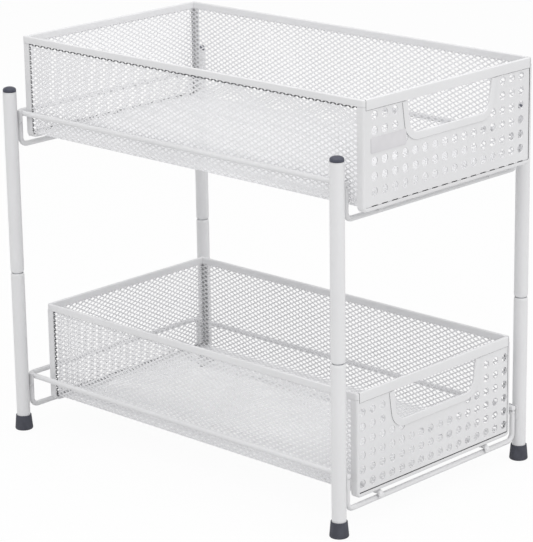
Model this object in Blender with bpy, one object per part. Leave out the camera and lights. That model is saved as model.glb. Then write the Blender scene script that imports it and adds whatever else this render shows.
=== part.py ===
# Two-tier sliding basket organizer.
# A knock-down frame of steel tubes carries two wire cradles, one above the other, and
# a mesh basket slides forward on each.  Front is -Y, +X is right seen from the front,
# and Z is up from the floor.  The origin is on the floor, under the middle of the whole.
import math

import bpy
import bmesh
from mathutils import Vector
from mathutils.geometry import delaunay_2d_cdt

# Clearance left between pieces that touch on the real product
GAP = 0.0003

# Legs: upper and lower tube, joined by an inner sleeve
TUBE_RADIUS = 0.0065
TUBE_BORE_RADIUS = 0.0053
TUBE_ABOVE_UPPER_FLOOR = 0.0410
JOINT_Z = 0.159
JOINT_LINE = 0.0010
NECK_RADIUS = 0.0058
NECK_LENGTH = 0.0028
SLEEVE_LENGTH = 0.050
SLEEVE_WALL = 0.0012
TUBE_SIDES = 16
SMOOTH_ANGLE = math.radians(35)

# Rubber feet and plastic tube caps
FOOT_HEIGHT = 0.0146
FOOT_TOP_RADIUS = 0.0075
FOOT_BASE_RADIUS = 0.0087
FOOT_FLOOR = 0.0037
FOOT_EDGE = 0.0012
FOOT_BEAD_HEIGHT = 0.0030
FOOT_BEAD_STEP = 0.0002
CAP_DOME_HEIGHT = 0.0050
CAP_DOME_INSET = 0.0002
CAP_EDGE_HEIGHT = 0.0014
CAP_DOME_STEPS = 4
CAP_STEM_LENGTH = 0.009

# Wire cradles: the rails clear the wider basket, and the rear wire stops the longer one
WIRE_RADIUS = 0.0025
WIRE_BEND_RADIUS = 0.007
ARC_STEPS = 4
RAIL_CLEARANCE = 0.0005
STOP_CLEARANCE = 0.0070
REAR_STOP_OFFSET = 0.003
CROSS_WIRE_INSET_Y = 0.0010
RUNNER_INSET = 0.038
RUNNER_HOOK_ANGLE = math.radians(65)
RAIL_ABOVE_FLOOR = 0.0195
BRACKET_WIDTH = 0.0010
BRACKET_LENGTH = 0.011
BRACKET_OVERLAP = 0.0033
BRACKET_DROP = 0.011
BRACKET_CHAMFER = 0.005

# Baskets
SHEET = 0.0010
RIM_WALL = 0.0008
RIM_HEIGHT = 0.0090
RIM_GROOVE_DEPTH = 0.0060
RIM_CORNER_RADIUS = 0.0040
RIM_TOP_ROUND = 0.0009
FRAME_DROP = 0.0036
FRAME_BOTTOM_RADIUS = 0.0036
FRAME_FOLD_STEPS = 3
FLANGE_FLAT = 0.0005
FRONT_SIDE_FLANGE = 0.0080
BACK_SIDE_FLANGE = 0.0055

# Perforations of the front panel
HOLE_COLUMNS = 16
HOLE_ROWS = 6
HOLE_PITCH = 0.01315
HOLE_RADIUS = 0.0040
HOLE_SIDES = 8
HOLE_MARGIN = 0.0008

# Handle cut-out, measured down from the rim, and the channel over its edge
HANDLE_TOP_HALF_WIDTH = 0.0565
HANDLE_TAPER = 0.0045
HANDLE_DEPTH = 0.0295
HANDLE_CORNER_RADIUS = 0.011
TRIM_WIDTH = 0.0070
TRIM_GROOVE = 0.0035
TRIM_WALL = 0.0007
TRIM_EDGE = 0.0005

# Expanded-metal lattice: clear border, bars and the size that a cell aims for
LATTICE_BORDER = 0.0030
LATTICE_BAR = 0.0026
CELL_LENGTH = 0.058
CELL_HEIGHT = 0.038
FLOOR_CELL_LENGTH = 0.072
FLOOR_CELL_WIDTH = 0.056
SMALLEST_OPENING = 0.0020

# One entry per tier: floor height of its basket, its width and length over the rim, how far
# the rim stands out in front of the leg axes, its height, and its lowest row of holes
TIERS = {
    "lower": {"floor_z": 0.0332, "width": 0.2130, "length": 0.3980, "overhang": 0.0040,
              "height": 0.0932, "lowest_hole_row": 0.0082},
    "upper": {"floor_z": 0.2945, "width": 0.2270, "length": 0.4240, "overhang": 0.0185,
              "height": 0.0932, "lowest_hole_row": 0.0125},
}

# Places that follow from the baskets: guide wire and legs outside the wider one, legs
# around the longer one, tube tops above the upper floor
WALL_X = max(size["width"] for size in TIERS.values()) / 2 - RIM_WALL - GAP
WIRE_X = WALL_X + RAIL_CLEARANCE + WIRE_RADIUS
BRACKET_X = WIRE_X + WIRE_RADIUS + GAP
LEG_X = BRACKET_X + BRACKET_WIDTH + GAP + TUBE_RADIUS
REACH_Y = max(size["length"] - size["overhang"] for size in TIERS.values())
LEG_Y = (REACH_Y + STOP_CLEARANCE + WIRE_RADIUS - REAR_STOP_OFFSET) / 2
TUBE_TOP_Z = TIERS["upper"]["floor_z"] + TUBE_ABOVE_UPPER_FLOOR
FOLD_RADIUS = RIM_CORNER_RADIUS - RIM_WALL - GAP
FLANGE = FOLD_RADIUS + FLANGE_FLAT

# Finishes
WHITE_COAT = ("white_powder_coat", (0.78, 0.78, 0.80), 0.45, 0.1)
DARK_PLASTIC = ("dark_plastic", (0.065, 0.07, 0.10), 0.5, 0.0)
DARK_RUBBER = ("dark_rubber", (0.06, 0.065, 0.08), 0.8, 0.0)
BARE_STEEL = ("bare_steel", (0.55, 0.56, 0.58), 0.35, 1.0)


def clear_scene():
    for obj in list(bpy.data.objects):
        bpy.data.objects.remove(obj, do_unlink=True)


def make_material(finish):
    name, colour, roughness, metallic = finish
    mat = bpy.data.materials.new(name)
    mat.use_nodes = True
    shader = mat.node_tree.nodes["Principled BSDF"]
    shader.inputs["Base Color"].default_value = (*colour, 1.0)
    shader.inputs["Roughness"].default_value = roughness
    shader.inputs["Metallic"].default_value = metallic
    return mat


def add_empty(name, location):
    empty = bpy.data.objects.new(name, None)
    empty.empty_display_size = 0.02
    empty.location = location
    bpy.context.collection.objects.link(empty)
    return empty


def add_object(name, data, finish, location=(0.0, 0.0, 0.0), parent=None):
    obj = bpy.data.objects.new(name, data)
    bpy.context.collection.objects.link(obj)
    data.materials.append(make_material(finish))
    obj.parent = parent
    if parent is not None:
        obj.location = Vector(location) - parent.location
    else:
        obj.location = location
    return obj


def mesh_from(bm, name, smooth=False):
    bmesh.ops.recalc_face_normals(bm, faces=bm.faces)
    if bm.calc_volume(signed=True) < 0.0:
        bmesh.ops.reverse_faces(bm, faces=bm.faces)
    mesh = bpy.data.meshes.new(name)
    bm.to_mesh(mesh)
    bm.free()
    if smooth:
        mesh.shade_smooth()
        mesh.set_sharp_from_angle(angle=SMOOTH_ANGLE)
    return mesh


def turned_mesh(name, profile):
    """Spin a closed outline of (radius, z) points about the Z axis."""
    bm = bmesh.new()
    verts = [bm.verts.new((r, 0.0, z)) for r, z in profile]
    edges = [bm.edges.new((verts[i], verts[(i + 1) % len(verts)])) for i in range(len(verts))]
    for edge in list(edges):
        if all(v.co.x < 1e-7 for v in edge.verts):
            bm.edges.remove(edge)
            edges.remove(edge)
    bmesh.ops.spin(bm, geom=verts + edges, cent=(0, 0, 0), axis=(0, 0, 1),
                   angle=math.tau, steps=TUBE_SIDES, use_merge=True)
    bmesh.ops.remove_doubles(bm, verts=bm.verts, dist=1e-6)
    return mesh_from(bm, name, smooth=True)


def rounded_path(corners, radius, closed=False):
    """Points of a path through the corners, each inner corner replaced by an arc."""
    points = []
    count = len(corners)
    for i, corner in enumerate(corners):
        corner = Vector(corner)
        if not closed and i in (0, count - 1):
            points.append(corner)
            continue
        before = (Vector(corners[i - 1]) - corner).normalized()
        after = (Vector(corners[(i + 1) % count]) - corner).normalized()
        half = before.angle(after) / 2
        reach = radius / math.tan(half)
        centre = corner + (before + after).normalized() * (radius / math.sin(half))
        start = corner + before * reach - centre
        end = corner + after * reach - centre
        sweep = start.angle(end)
        for k in range(ARC_STEPS + 1):
            a = sweep * k / ARC_STEPS
            points.append(centre + (start * math.sin(sweep - a) + end * math.sin(a)) / math.sin(sweep))
    return points


def wire_curve(name, points):
    """A round wire along the points, with closed ends."""
    curve = bpy.data.curves.new(name, "CURVE")
    curve.dimensions = "3D"
    curve.bevel_depth = WIRE_RADIUS
    curve.bevel_resolution = 2
    curve.use_fill_caps = True
    spline = curve.splines.new("POLY")
    spline.points.add(len(points) - 1)
    for point, co in zip(spline.points, points):
        point.co = (*co, 1.0)
    return curve


def swept_mesh(name, path, profile, place, closed=False):
    """Sweep a closed profile of (offset, depth) points along a flat path.

    The offset is measured to the left of the path with mitred corners, and place()
    turns the flat point and the depth into a point in space.
    """
    bm = bmesh.new()
    count = len(path)
    rings = []
    for i, point in enumerate(path):
        point = Vector(point).to_2d()
        before = Vector(path[(i - 1) % count]).to_2d()
        after = Vector(path[(i + 1) % count]).to_2d()
        into = (point - before).normalized() if closed or i > 0 else (after - point).normalized()
        out = (after - point).normalized() if closed or i < count - 1 else into
        along = (into + out).normalized()
        left = Vector((-along.y, along.x)) / along.dot(into)
        ring = []
        for offset, depth in profile:
            flat = point + left * offset
            ring.append(bm.verts.new(place(flat.x, flat.y, depth)))
        rings.append(ring)
    size = len(profile)
    spans = count if closed else count - 1
    for i in range(spans):
        a, b = rings[i], rings[(i + 1) % count]
        for k in range(size):
            n = (k + 1) % size
            bm.faces.new((a[k], a[n], b[n], b[k]))
    if not closed:
        bm.faces.new(rings[0])
        bm.faces.new(list(reversed(rings[-1])))
    return mesh_from(bm, name)


def enclosed(x, y, loops):
    """True where a point is inside the outline and outside the holes."""
    crossings = 0
    for loop in loops:
        for (ax, ay), (bx, by) in zip(loop, loop[1:] + loop[:1]):
            if (ay > y) != (by > y) and x < ax + (y - ay) / (by - ay) * (bx - ax):
                crossings += 1
    return crossings % 2 == 1


def sheet_mesh(name, outline, holes, thickness, place):
    """A flat sheet with holes: outline and holes are loops of (u, v) points."""
    loops = [outline] + holes
    points = []
    sides = []
    for loop in loops:
        start = len(points)
        points += [Vector(p) for p in loop]
        sides += [(start + i, start + (i + 1) % len(loop)) for i in range(len(loop))]
    coords, _, triangles, _, _, _ = delaunay_2d_cdt(points, sides, [], 1, 1e-7)
    bm = bmesh.new()
    verts = [bm.verts.new((co.x, co.y, 0.0)) for co in coords]
    for corners in triangles:
        middle = sum((coords[i] for i in corners), Vector((0.0, 0.0))) / len(corners)
        if enclosed(middle.x, middle.y, loops):
            bm.faces.new([verts[i] for i in corners])
    made = bmesh.ops.extrude_face_region(bm, geom=list(bm.faces), use_keep_orig=True)
    for item in made["geom"]:
        if isinstance(item, bmesh.types.BMVert):
            item.co.z = thickness
    for vert in bm.verts:
        vert.co = place(vert.co.x, vert.co.y, vert.co.z)
    return mesh_from(bm, name)


def clip_loop(loop, low_u, high_u, low_v, high_v):
    """Clip a convex loop to a rectangle, edge by edge."""
    limits = ((0, low_u, 1.0), (0, high_u, -1.0), (1, low_v, 1.0), (1, high_v, -1.0))
    for axis, limit, sign in limits:
        kept = []
        for i, here in enumerate(loop):
            there = loop[(i + 1) % len(loop)]
            inside_here = sign * (here[axis] - limit) >= 0.0
            inside_there = sign * (there[axis] - limit) >= 0.0
            if inside_here:
                kept.append(here)
            if inside_here != inside_there:
                t = (limit - here[axis]) / (there[axis] - here[axis])
                kept.append((here[0] + t * (there[0] - here[0]), here[1] + t * (there[1] - here[1])))
        loop = kept
        if not loop:
            return []
    return loop


def loop_area(loop):
    return 0.5 * abs(sum(a[0] * b[1] - b[0] * a[1] for a, b in zip(loop, loop[1:] + loop[:1])))


def lattice_holes(length, height, cell_length, cell_height):
    """Diamond openings in staggered rows, clipped to a clear border."""
    columns = max(2, round((length - 2 * LATTICE_BORDER) / cell_length))
    rows = max(2, round((height - 2 * LATTICE_BORDER) / (cell_height / 2)))
    step_u = (length - 2 * LATTICE_BORDER) / columns
    step_v = (height - 2 * LATTICE_BORDER) / rows
    slope = math.hypot(step_u / 2, step_v)
    reach_u = step_u / 2 - LATTICE_BAR / 2 * slope / step_v
    reach_v = step_v - LATTICE_BAR / 2 * slope / (step_u / 2)
    smallest = SMALLEST_OPENING ** 2
    holes = []
    for row in range(rows + 1):
        shift = 0.5 if row % 2 else 0.0
        for column in range(columns + 1):
            u = LATTICE_BORDER + (column + shift) * step_u
            v = LATTICE_BORDER + row * step_v
            diamond = [(u - reach_u, v), (u, v - reach_v), (u + reach_u, v), (u, v + reach_v)]
            loop = clip_loop(diamond, LATTICE_BORDER, length - LATTICE_BORDER,
                             LATTICE_BORDER, height - LATTICE_BORDER)
            if len(loop) > 2 and loop_area(loop) > smallest:
                holes.append(loop)
    return holes


def lattice_sheet(name, length, height, place, cell=(CELL_LENGTH, CELL_HEIGHT)):
    outline = [(0, 0), (length, 0), (length, height), (0, height)]
    return sheet_mesh(name, outline, lattice_holes(length, height, *cell), SHEET, place)


def folded_frame_profile(face_y, side_flange, inward):
    """L section of an edge frame; inward is +1 when the basket lies towards +Y of it."""
    outer = [(0.0, side_flange)]
    inner = [(FLANGE, SHEET)]
    small = FOLD_RADIUS - SHEET
    for k in range(FRAME_FOLD_STEPS + 1):
        a = math.pi / 2 * k / FRAME_FOLD_STEPS
        outer.append((FOLD_RADIUS - FOLD_RADIUS * math.cos(a), FOLD_RADIUS - FOLD_RADIUS * math.sin(a)))
        inner.append((FOLD_RADIUS - small * math.sin(a), FOLD_RADIUS - small * math.cos(a)))
    outer.append((FLANGE, 0.0))
    inner.append((SHEET, side_flange))
    return [(offset, face_y + inward * depth) for offset, depth in outer + inner]


def add_leg(name, x, y):
    half_line = JOINT_LINE / 2
    lower_end = JOINT_Z - half_line
    upper_end = JOINT_Z + half_line
    lower_start = FOOT_FLOOR + GAP
    lower = [(TUBE_RADIUS, lower_start), (TUBE_RADIUS, lower_end - NECK_LENGTH), (NECK_RADIUS, lower_end),
             (TUBE_BORE_RADIUS, lower_end), (TUBE_BORE_RADIUS, lower_start)]
    upper = [(NECK_RADIUS, upper_end), (TUBE_RADIUS, upper_end + NECK_LENGTH), (TUBE_RADIUS, TUBE_TOP_Z),
             (TUBE_BORE_RADIUS, TUBE_TOP_Z), (TUBE_BORE_RADIUS, upper_end)]
    sleeve_radius = TUBE_BORE_RADIUS - GAP
    low, high = JOINT_Z - SLEEVE_LENGTH / 2, JOINT_Z + SLEEVE_LENGTH / 2
    sleeve = [(sleeve_radius, low), (sleeve_radius, high),
              (sleeve_radius - SLEEVE_WALL, high), (sleeve_radius - SLEEVE_WALL, low)]
    dome_radius = TUBE_RADIUS - CAP_DOME_INSET
    seat = TUBE_TOP_Z + GAP
    dome = [(0.0, seat - CAP_STEM_LENGTH), (sleeve_radius, seat - CAP_STEM_LENGTH), (sleeve_radius, seat),
            (dome_radius, seat)]
    crown_low = seat + CAP_EDGE_HEIGHT
    crown_height = CAP_DOME_HEIGHT - GAP - CAP_EDGE_HEIGHT
    for k in range(1, CAP_DOME_STEPS):
        a = math.pi / 2 * k / CAP_DOME_STEPS
        dome.append((dome_radius * math.cos(a), crown_low + crown_height * math.sin(a)))
    dome.append((0.0, crown_low + crown_height))
    socket = TUBE_RADIUS + GAP
    foot = [(0.0, 0.0), (FOOT_BASE_RADIUS - FOOT_EDGE, 0.0), (FOOT_BASE_RADIUS, FOOT_EDGE),
            (FOOT_BASE_RADIUS - FOOT_BEAD_STEP, FOOT_BEAD_HEIGHT), (FOOT_TOP_RADIUS, FOOT_HEIGHT),
            (socket, FOOT_HEIGHT), (socket, FOOT_FLOOR), (0.0, FOOT_FLOOR)]
    place = (x, y, 0.0)
    add_object("lower_leg_" + name, turned_mesh("lower_leg", lower), WHITE_COAT, place)
    add_object("upper_leg_" + name, turned_mesh("upper_leg", upper), WHITE_COAT, place)
    add_object("leg_sleeve_" + name, turned_mesh("leg_sleeve", sleeve), BARE_STEEL, place)
    add_object("leg_cap_" + name, turned_mesh("leg_cap", dome), DARK_PLASTIC, place)
    add_object("foot_" + name, turned_mesh("foot", foot), DARK_RUBBER, place)


def add_cradle(tier, size):
    """Guide ring, two cross wires, two runners and four leg brackets of one tier."""
    rail_z = size["floor_z"] + RAIL_ABOVE_FLOOR
    runner_z = size["floor_z"] - FRAME_DROP - GAP - WIRE_RADIUS
    cross_z = runner_z - 2 * WIRE_RADIUS - GAP
    back_y = LEG_Y + REAR_STOP_OFFSET
    tip_y = -LEG_Y - WIRE_RADIUS

    ring = rounded_path([(WIRE_X, tip_y, rail_z), (WIRE_X, back_y, rail_z),
                         (-WIRE_X, back_y, rail_z), (-WIRE_X, tip_y, rail_z)], WIRE_BEND_RADIUS)
    add_object(tier + "_guide_ring", wire_curve("guide_ring", ring), WHITE_COAT)

    top = rail_z - WIRE_RADIUS - GAP
    cross_places = {"front": -LEG_Y, "rear": LEG_Y - CROSS_WIRE_INSET_Y}
    for side, y in cross_places.items():
        path = rounded_path([(-WIRE_X, y, top), (-WIRE_X, y, cross_z),
                             (WIRE_X, y, cross_z), (WIRE_X, y, top)], WIRE_BEND_RADIUS)
        add_object(tier + "_" + side + "_cross_wire", wire_curve("cross_wire", path), WHITE_COAT)

    hook_radius = 2 * WIRE_RADIUS + GAP
    runner_x = WALL_X - RUNNER_INSET
    for side, sign in (("left", -1), ("right", 1)):
        path = []
        for y, direction in ((cross_places["front"], -1), (cross_places["rear"], 1)):
            arc = []
            for k in range(ARC_STEPS, -1, -1):
                a = RUNNER_HOOK_ANGLE * k / ARC_STEPS
                arc.append((sign * runner_x, y + direction * hook_radius * math.sin(a),
                            cross_z + hook_radius * math.cos(a)))
            path += arc if direction < 0 else list(reversed(arc))
        add_object(tier + "_runner_" + side, wire_curve("runner", path), WHITE_COAT)

    bracket_top = rail_z + WIRE_RADIUS
    bracket_low = rail_z - BRACKET_DROP
    for side, sign in (("left", -1), ("right", 1)):
        for end, y, facing in (("front", -LEG_Y, 1), ("rear", LEG_Y, -1)):
            start = y - facing * BRACKET_OVERLAP
            stop = start + facing * BRACKET_LENGTH
            outline = [(start, bracket_low), (stop - facing * BRACKET_CHAMFER, bracket_low),
                       (stop, bracket_low + BRACKET_CHAMFER), (stop, bracket_top), (start, bracket_top)]
            mesh = sheet_mesh("bracket", outline, [], BRACKET_WIDTH,
                              lambda u, v, w, s=sign: (s * (BRACKET_X + w), u, v))
            add_object(tier + "_bracket_" + end + "_" + side, mesh, WHITE_COAT)


def handle_outline(top_z, extra):
    """Left-to-right path around the handle cut-out, widened by extra."""
    bottom_z = top_z - HANDLE_DEPTH
    bottom_half_width = HANDLE_TOP_HALF_WIDTH - HANDLE_TAPER
    corners = [(-HANDLE_TOP_HALF_WIDTH, top_z), (-bottom_half_width, bottom_z),
               (bottom_half_width, bottom_z), (HANDLE_TOP_HALF_WIDTH, top_z)]
    path = rounded_path(corners, HANDLE_CORNER_RADIUS)
    side_reach = extra * math.hypot(1.0, HANDLE_TAPER / HANDLE_DEPTH)
    widened = []
    for i, point in enumerate(path):
        if i in (0, len(path) - 1):
            sign = -1 if i == 0 else 1
            widened.append((point.x + sign * side_reach, point.y))
            continue
        into = (point - path[i - 1]).normalized()
        out = (path[i + 1] - point).normalized()
        along = (into + out).normalized()
        right = Vector((along.y, -along.x)) / along.dot(into)
        moved = point + right * extra
        widened.append((moved.x, moved.y))
    return widened


def perforations(half_width, low_z, top_z, first_row_z, cut_edge):
    """Hole loops of the square grid that lie clear of the panel's edges and cut-out."""
    reach = HOLE_RADIUS + HOLE_MARGIN
    barred = handle_outline(top_z, cut_edge + reach)
    loops = []
    for row in range(HOLE_ROWS):
        z = first_row_z + row * HOLE_PITCH
        if z - reach < low_z or z + reach > top_z:
            continue
        for column in range(HOLE_COLUMNS):
            x = (column - (HOLE_COLUMNS - 1) / 2) * HOLE_PITCH
            if abs(x) + reach > half_width or enclosed(x, z, [barred]):
                continue
            loop = []
            for k in range(HOLE_SIDES):
                a = math.tau * (k + 0.5) / HOLE_SIDES
                loop.append((x + HOLE_RADIUS * math.cos(a), z + HOLE_RADIUS * math.sin(a)))
            loops.append(loop)
    return loops


def add_basket(tier, size):
    """Sliding basket: mesh walls, perforated front, edge frames, rim and handle trim."""
    floor_z = size["floor_z"]
    top_z = floor_z + size["height"]
    frame_low = floor_z - FRAME_DROP
    rim_half = size["width"] / 2
    rim_front = -LEG_Y - size["overhang"]
    rim_back = rim_front + size["length"]
    half = rim_half - RIM_WALL - GAP
    front_y = rim_front + RIM_WALL + GAP
    back_y = rim_back - RIM_WALL - GAP
    slide = add_empty(tier + "_basket_slide", (0.0, rim_front, floor_z))
    rim_low = top_z - RIM_HEIGHT
    seat_z = rim_low + RIM_GROOVE_DEPTH - GAP

    def add(name, mesh, finish=WHITE_COAT):
        add_object(tier + "_basket_" + name, mesh, finish, (0.0, 0.0, 0.0), slide)

    # Rim: an inverted channel bent round the top edge
    rim_path = rounded_path([(-rim_half, rim_front), (rim_half, rim_front),
                             (rim_half, rim_back), (-rim_half, rim_back)], RIM_CORNER_RADIUS, closed=True)
    width = 2 * RIM_WALL + SHEET + 2 * GAP
    groove = rim_low + RIM_GROOVE_DEPTH
    rim_profile = [(0.0, rim_low), (0.0, top_z - RIM_TOP_ROUND), (RIM_TOP_ROUND, top_z),
                   (width - RIM_TOP_ROUND, top_z), (width, top_z - RIM_TOP_ROUND), (width, rim_low),
                   (width - RIM_WALL, rim_low), (width - RIM_WALL, groove), (RIM_WALL, groove),
                   (RIM_WALL, rim_low)]
    add("rim", swept_mesh("rim", rim_path, rim_profile, lambda u, v, w: (u, v, w), closed=True))

    # Front and back edge frames: folded strips down one side, across and up the other
    frame_path = rounded_path([(-half, seat_z), (-half, frame_low), (half, frame_low), (half, seat_z)],
                              FRAME_BOTTOM_RADIUS)
    for name, y, side_flange, inward in (("front_frame", front_y, FRONT_SIDE_FLANGE, 1),
                                         ("back_frame", back_y, BACK_SIDE_FLANGE, -1)):
        profile = folded_frame_profile(y, side_flange, inward)
        add(name, swept_mesh(name, frame_path, profile, lambda u, v, w: (u, w, v)))

    # Mesh walls, floor and back
    low_y = front_y + FRONT_SIDE_FLANGE + GAP
    high_y = back_y - BACK_SIDE_FLANGE - GAP
    length = high_y - low_y
    wall_height = seat_z - floor_z
    add("left_mesh", lattice_sheet("side_mesh", length, wall_height,
                                   lambda u, v, w: (-half + w, low_y + u, floor_z + v)))
    add("right_mesh", lattice_sheet("side_mesh", length, wall_height,
                                    lambda u, v, w: (half - w, low_y + u, floor_z + v)))
    floor_half = half - SHEET - GAP
    add("floor_mesh", lattice_sheet("floor_mesh", length, 2 * floor_half,
                                    lambda u, v, w: (v - floor_half, low_y + u, floor_z + w),
                                    (FLOOR_CELL_LENGTH, FLOOR_CELL_WIDTH)))
    back_half = half - FLANGE - GAP
    back_low = frame_low + FLANGE + GAP
    add("back_mesh", lattice_sheet("back_mesh", 2 * back_half, seat_z - back_low,
                                   lambda u, v, w: (u - back_half, back_y - w, back_low + v)))

    # Perforated front panel, held behind the front frame, with the handle cut-out
    panel_y = front_y + SHEET + GAP
    panel_half = half - FOLD_RADIUS - GAP
    panel_low = frame_low + FOLD_RADIUS + GAP
    panel_top = rim_low - GAP
    cut_edge = TRIM_WIDTH - TRIM_GROOVE + GAP
    cut = handle_outline(panel_top, cut_edge)
    outline = [(-panel_half, panel_top), (-panel_half, panel_low), (panel_half, panel_low),
               (panel_half, panel_top)] + list(reversed(cut))
    holes = perforations(panel_half, panel_low, panel_top, floor_z + size["lowest_hole_row"], cut_edge)
    add("front_panel", sheet_mesh("front_panel", outline, holes, SHEET, lambda u, v, w: (u, panel_y + w, v)))

    # Smooth channel around the handle cut-out, pushed over the panel's edge
    trim_path = handle_outline(panel_top, 0.0)
    groove_front = panel_y - GAP
    groove_back = panel_y + SHEET + GAP
    trim_front = groove_front - TRIM_WALL
    trim_back = groove_back + TRIM_WALL
    groove_end = TRIM_GROOVE - TRIM_WIDTH
    trim_profile = [(-TRIM_EDGE, trim_front), (-TRIM_WIDTH, trim_front), (-TRIM_WIDTH, groove_front),
                    (groove_end, groove_front), (groove_end, groove_back), (-TRIM_WIDTH, groove_back),
                    (-TRIM_WIDTH, trim_back), (-TRIM_EDGE, trim_back), (0.0, trim_back - TRIM_EDGE),
                    (0.0, trim_front + TRIM_EDGE)]
    add("handle_trim", swept_mesh("handle_trim", trim_path, trim_profile, lambda u, v, w: (u, w, v)))


def main():
    clear_scene()
    corners = {"front_left": (-1, -1), "front_right": (1, -1), "rear_left": (-1, 1), "rear_right": (1, 1)}
    for name, (sign_x, sign_y) in corners.items():
        add_leg(name, sign_x * LEG_X, sign_y * LEG_Y)
    for tier, size in TIERS.items():
        add_cradle(tier, size)
        add_basket(tier, size)

    # The pieces are placed from the middle of the legs, and the baskets overhang the front
    foremost = -LEG_Y - max(size["overhang"] for size in TIERS.values())
    rearmost = LEG_Y + FOOT_BASE_RADIUS
    for obj in bpy.data.objects:
        if obj.parent is None:
            obj.location.y -= (foremost + rearmost) / 2


main()
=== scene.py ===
# Two-tier sliding basket organizer: the finished surfaces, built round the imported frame.
# Front is -Y, +X is right seen from the front, sizes are in metres.
import math

import bmesh
import bpy
import numpy as np
from mathutils import Matrix, Vector
from mathutils.geometry import delaunay_2d_cdt


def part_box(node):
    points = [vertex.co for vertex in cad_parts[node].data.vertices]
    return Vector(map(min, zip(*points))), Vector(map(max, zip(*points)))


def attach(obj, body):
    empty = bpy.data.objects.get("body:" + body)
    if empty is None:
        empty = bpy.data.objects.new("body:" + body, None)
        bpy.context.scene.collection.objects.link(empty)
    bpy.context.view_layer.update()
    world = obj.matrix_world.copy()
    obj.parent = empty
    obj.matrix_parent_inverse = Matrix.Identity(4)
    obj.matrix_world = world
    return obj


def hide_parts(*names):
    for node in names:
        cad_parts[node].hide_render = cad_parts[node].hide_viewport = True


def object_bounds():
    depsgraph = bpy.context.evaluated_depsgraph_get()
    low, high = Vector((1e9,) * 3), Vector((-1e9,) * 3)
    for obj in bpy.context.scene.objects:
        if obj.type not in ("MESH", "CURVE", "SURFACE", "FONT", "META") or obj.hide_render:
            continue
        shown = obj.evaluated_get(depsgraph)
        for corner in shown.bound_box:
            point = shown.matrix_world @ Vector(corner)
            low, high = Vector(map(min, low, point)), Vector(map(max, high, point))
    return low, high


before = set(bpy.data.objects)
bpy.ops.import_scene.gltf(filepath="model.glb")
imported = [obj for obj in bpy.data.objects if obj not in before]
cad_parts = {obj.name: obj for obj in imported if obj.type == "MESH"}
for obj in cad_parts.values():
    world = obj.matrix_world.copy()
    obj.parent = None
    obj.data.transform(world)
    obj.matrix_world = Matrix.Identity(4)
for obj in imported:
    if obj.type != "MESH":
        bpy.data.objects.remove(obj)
cad_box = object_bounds()

CORNERS = ("front_left", "front_right", "rear_left", "rear_right")
TIERS = ("lower", "upper")

# Legs, caps and feet
TUBE_BORE_RADIUS = 0.0053
NECK_RADIUS = 0.0058
NECK_LENGTH = 0.0030
ROUND_SIDES = 48
CAP_BAND = 0.0018
CAP_EDGE = 0.0002
FOOT_FLOOR = 0.0037
FOOT_TOP_RADIUS = 0.0075
FOOT_TOP_ROUND = 0.0004
FOOT_BAND = 0.0035
FOOT_TAPER = 0.0002
FOOT_EDGE_ROUND = 0.0013
FOOT_RING = 0.0026
FOOT_RING_SLOPE = 0.0004
FOOT_HOLLOW = 0.0005

# Wires
WIRE_RADIUS = 0.0025
WIRE_BEND_RADIUS = 0.007
WIRE_END_ROUND = 0.0006
WIRE_SIDES = 20
HOOK_RADIUS = 0.0053
HOOK_ANGLE = math.radians(82)
TAB_WIDENING = 0.45
TAB_FLATTENING = 0.42

# Channels over the top edges, and the folded strips along the other edges. Each INSIDE names
# the profile points between which a swept piece has painted shade.
RIM_WALL = 0.0008
RIM_WIDTH = 0.0032
RIM_SIDE_HEIGHT = 0.0063
RIM_FRONT_HEIGHT = 0.0093
RIM_INNER_HEIGHT = 0.0067
RIM_ROOF = 0.0015
RIM_TOP_ROUND = 0.0012
RIM_LIP = 0.00025
RIM_INSIDE = (18, 21)
CORNER_RADIUS = 0.0029
FOLD_RADIUS = 0.0018
SEAM = 0.0005
STRIP = 0.0005
STRIP_FACE = 0.0030
STRIP_BOTTOM_FACE = {"front": 0.0037, "back": 0.0048}
STRIP_SIDE = {"front": 0.0072, "back": 0.0082}
STRIP_INSIDE = (11, 22)
STRIP_TOP_GAP = 0.0002
SHEET = 0.0010
GAP = 0.0003
FINE_GAP = 0.0001
BUTT_GAP = 0.00005

# Expanded metal
DIAMOND_LENGTH = 0.0082
DIAMOND_HEIGHT = 0.0046
STRAND = 0.00132
STRAND_THICKNESS = 0.00035
STRAND_TILT = 0.00012
MESH_INSET = 0.00165
MESH_BEND_RADIUS = 0.0036
FRAME_BEND_RADIUS = 0.0050
HEM_HEIGHT = 0.0034
# How far from a strip (SHELTER) and from a rim (RIM_SHELTER) the mesh gets painted shade
SHELTER = 0.0009
RIM_SHELTER = {"lower": 0.0008, "upper": 0.0012}
BACKING_WIDTH = 0.0039

# Perforated front panel and its handle
PANEL_INSET = 0.0007
PANEL_CORNER = 0.0012
PANEL_SIDE_SEAM = {"lower": 0.0001, "upper": 0.0005}
PANEL_TOP_SEAM = 0.0004
PANEL_EDGE = 0.0001
HOLE_COLUMNS = 16
HOLE_ROWS = 6
HOLE_PITCH = 0.01315
HOLE_RADIUS = 0.0040
HOLE_SIDES = 24
HOLE_MARGIN = 0.0003
LOWEST_ROW = {"lower": 0.0082, "upper": 0.0125}
HANDLE_TOP_HALF_WIDTH = 0.0565
HANDLE_BOTTOM_HALF_WIDTH = 0.0520
HANDLE_DEPTH = 0.0295
HANDLE_CORNER_RADIUS = 0.011
TRIM_WIDTH = 0.0070
TRIM_THICKNESS = 0.0022
TRIM_GROOVE_DEPTH = 0.0045
TRIM_ROUND = 0.0010
TRIM_EDGE = 0.0002
# TRIM_INSIDE names the profile points between which the handle channel has painted shade
TRIM_INSIDE = (13, 15)
BOTTOM_SLOT = 0.0008
SLOT_EASE = 0.0004

# How squarely a face has to look one way to count as facing it: flat sheets, and strands
FACING = 0.9
STRAND_FACING = 0.7

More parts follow.
